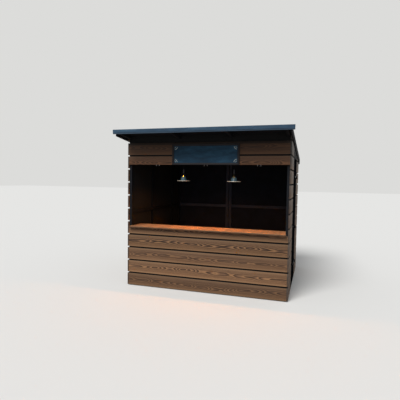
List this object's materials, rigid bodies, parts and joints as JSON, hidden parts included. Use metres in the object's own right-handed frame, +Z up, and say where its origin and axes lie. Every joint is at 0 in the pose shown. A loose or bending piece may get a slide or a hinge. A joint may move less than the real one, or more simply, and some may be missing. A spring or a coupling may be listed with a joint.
{
  "type": "wooden market hut",
  "caption": "Small lean-to market hut of grooved horizontal boards on a black frame, with an open serving counter, a sign board, pendant lamps and a hinged side door.",
  "frame": {"origin": "on the ground, in the middle of the roof's plan", "axes": "+Z up, -Y out of the serving front, +X towards the side with the door"},
  "size_m": [2.8, 2.85, 2.59],
  "materials": {
    "facing_boards": "oiled, rough sawn",
    "counter_wood": "oiled",
    "black_timber": "matt black stain",
    "black_lining": "matt black stain",
    "door_timber": "matt black stain",
    "floor_timber": "planed",
    "roofing_felt": "slate granules",
    "fascia_board": "grey paint",
    "chalkboard": "matt board paint",
    "sign_wood": "dark oil",
    "black_iron": "matt powder coat",
    "hook_steel": "bright zinc",
    "shade_enamel": "glossy enamel",
    "lamp_holder": "satin"
  },
  "bodies": {
    "hut": {"front_lower_boards": "facing_boards", "front_upper_boards": "facing_boards", "left_boards": "facing_boards", "rear_boards": "facing_boards", "right_front_boards": "facing_boards", "right_rear_boards": "facing_boards", "counter_board": "counter_wood", "left_wall_posts": "black_timber", "front_right_post": "black_timber", "rear_wall_posts": "black_timber", "front_head_rails": "black_timber", "counter_frame": "black_timber", "left_wall_rails": "black_timber", "rear_wall_rails": "black_timber", "right_top_plate": "black_timber", "door_front_jamb": "black_timber", "door_rear_jamb": "black_timber", "door_head": "black_timber", "rafters": "black_timber", "roof_deck": "black_timber", "rear_fascia": "black_timber", "left_verge_board": "black_timber", "right_verge_board": "black_timber", "front_lower_lining": "black_lining", "front_upper_lining": "black_lining", "left_lining": "black_lining", "rear_lining": "black_lining", "right_front_lining": "black_lining", "right_rear_lining": "black_lining", "floor_bearers": "floor_timber", "floor_deck": "floor_timber", "roof_felt": "roofing_felt", "front_fascia": "fascia_board", "sign_panel": "chalkboard", "sign_frame": "sign_wood", "hinge_pins": "black_iron", "opening_hooks": "hook_steel", "left_lamp_shade": "shade_enamel", "right_lamp_shade": "shade_enamel", "left_lamp_fitting": "lamp_holder", "right_lamp_fitting": "lamp_holder"},
    "door": {"door_leaf": "door_timber", "door_ledges": "door_timber", "hinge_straps": "black_iron", "door_knob": "black_iron"}
  },
  "joints": [
    {"name": "door_hinge", "type": "hinge", "parent": "hut", "child": "door", "pos_m": [1.3523, 0.472, 1.11], "axis": [0, 0, 1], "range_deg": [0, 160]}
  ]
}
